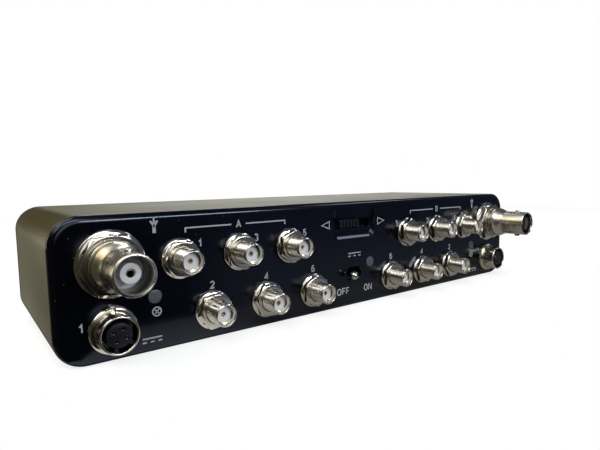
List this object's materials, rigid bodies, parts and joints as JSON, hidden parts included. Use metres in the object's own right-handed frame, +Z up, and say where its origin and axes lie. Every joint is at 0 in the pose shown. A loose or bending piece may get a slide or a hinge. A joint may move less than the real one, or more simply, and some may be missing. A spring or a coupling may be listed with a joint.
{
  "type": "antenna distribution module",
  "caption": "Slim metal case with threaded antenna outputs, bayonet antenna inputs, round power sockets, a selector slide and a power toggle on its glossy front panel.",
  "frame": {"origin": "middle of the case's bottom face, halfway between the front and rear faces", "axes": "+X along the panel to the right as seen from the front, -Y out of the front panel, +Z up"},
  "size_m": [0.192, 0.0813, 0.037],
  "materials": {
    "bronze_sleeve": "satin bronze-grey anodised sleeve",
    "black_panel": "glossy blue-black panel",
    "nickel": "bright nickel plating",
    "gold_contact": "gold plating",
    "white_insulator": "waxy white insulator",
    "black_plastic": "moulded black",
    "smoke_window": "frosted smoke-grey light window",
    "circuit_board": "green solder mask",
    "tin": "tinned steel"
  },
  "bodies": {
    "case": {"case_sleeve": "bronze_sleeve", "front_panel": "black_panel", "rear_panel": "black_panel", "tie_screws": "tin", "sma_shells_a": "nickel", "sma_nuts_a": "nickel", "sma_washers_a": "nickel", "sma_insulators_a": "white_insulator", "sma_contacts_a": "gold_contact", "sma_shells_b": "nickel", "sma_nuts_b": "nickel", "sma_washers_b": "nickel", "sma_insulators_b": "white_insulator", "sma_contacts_b": "gold_contact", "bnc_shell_a": "nickel", "bnc_nut_a": "nickel", "bnc_washer_a": "nickel", "bnc_insulator_a": "white_insulator", "bnc_contact_a": "gold_contact", "bnc_shell_b": "nickel", "bnc_nut_b": "nickel", "bnc_washer_b": "nickel", "bnc_insulator_b": "white_insulator", "bnc_contact_b": "gold_contact", "dc_shell_a": "nickel", "dc_nut_a": "nickel", "dc_insert_a": "black_plastic", "dc_contacts_a": "gold_contact", "dc_shell_b": "nickel", "dc_nut_b": "nickel", "dc_insert_b": "black_plastic", "dc_contacts_b": "gold_contact", "led_window_a": "smoke_window", "led_window_power": "smoke_window", "led_window_b": "smoke_window", "led_chips": "white_insulator", "toggle_frame": "black_plastic", "toggle_pin": "tin", "slide_body": "tin", "switch_terminals": "tin", "front_board": "circuit_board", "main_board": "circuit_board", "link_socket": "black_plastic", "link_plug": "black_plastic", "can_frame_a": "tin", "can_lid_a": "tin", "can_frame_b": "tin", "can_lid_b": "tin", "splitter_chips": "black_plastic", "amplifier_chips": "black_plastic", "regulator": "black_plastic", "power_coils": "black_plastic", "capacitors": "tin", "fuses": "white_insulator"},
    "toggle": {"toggle_lever": "nickel"},
    "selector": {"slide_knob": "black_plastic"}
  },
  "joints": [
    {"name": "toggle_swing", "type": "hinge", "parent": "case", "child": "toggle", "pos_m": [-0.0005, -0.0238, 0.0115], "axis": [0, 0, 1], "range_deg": [0, 28]},
    {"name": "knob_slide", "type": "slide", "parent": "case", "child": "selector", "axis": [1, 0, 0], "range_m": [0, 0.0048]}
  ]
}
